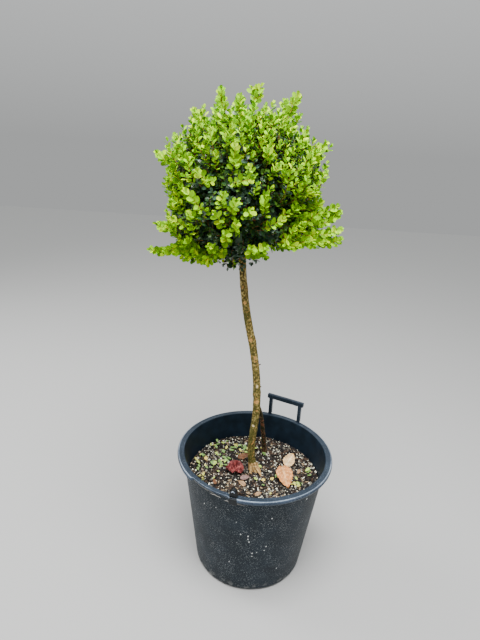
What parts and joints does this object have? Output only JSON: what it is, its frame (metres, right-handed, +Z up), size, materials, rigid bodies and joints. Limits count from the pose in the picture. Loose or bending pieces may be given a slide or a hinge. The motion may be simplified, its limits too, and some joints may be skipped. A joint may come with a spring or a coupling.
{
  "type": "standard lollipop topiary in a nursery pot",
  "caption": "Small-leaved evergreen trained as a standard: a bare leaning trunk under a loosely clipped ball of leaves, in a filled black nursery pot with a standing handle.",
  "frame": {"origin": "centre of the pot's flat underside, on the surface that it stands on", "axes": "+Z up, +X to the viewer's right in the picture, +Y away from the viewer, towards the side of the standing handle"},
  "size_m": [0.5827, 0.5019, 1.4712],
  "materials": {
    "pot_plastic": "satin",
    "potting_mix": "matte",
    "trunk_bark": "matte",
    "second_stem_bark": "matte",
    "twig_bark": "matte",
    "mature_leaf": "satin",
    "young_leaf": "satin"
  },
  "bodies": {
    "root": {"pot": "pot_plastic", "pot_handle": "pot_plastic", "pot_handle_stump": "pot_plastic", "potting_mix": "potting_mix", "trunk": "trunk_bark", "second_stem": "second_stem_bark", "bough_top": "twig_bark", "bough_upper_1": "twig_bark", "bough_upper_2": "twig_bark", "bough_upper_3": "twig_bark", "bough_upper_4": "twig_bark", "bough_lower_1": "twig_bark", "bough_lower_2": "twig_bark", "bough_lower_3": "twig_bark", "bough_lower_4": "twig_bark", "foliage_top": "young_leaf", "foliage_upper_1": "mature_leaf", "foliage_upper_2": "mature_leaf", "foliage_upper_3": "mature_leaf", "foliage_upper_4": "mature_leaf", "foliage_lower_1": "mature_leaf", "foliage_lower_2": "mature_leaf", "foliage_lower_3": "mature_leaf", "foliage_lower_4": "mature_leaf"}
  },
  "joints": []
}
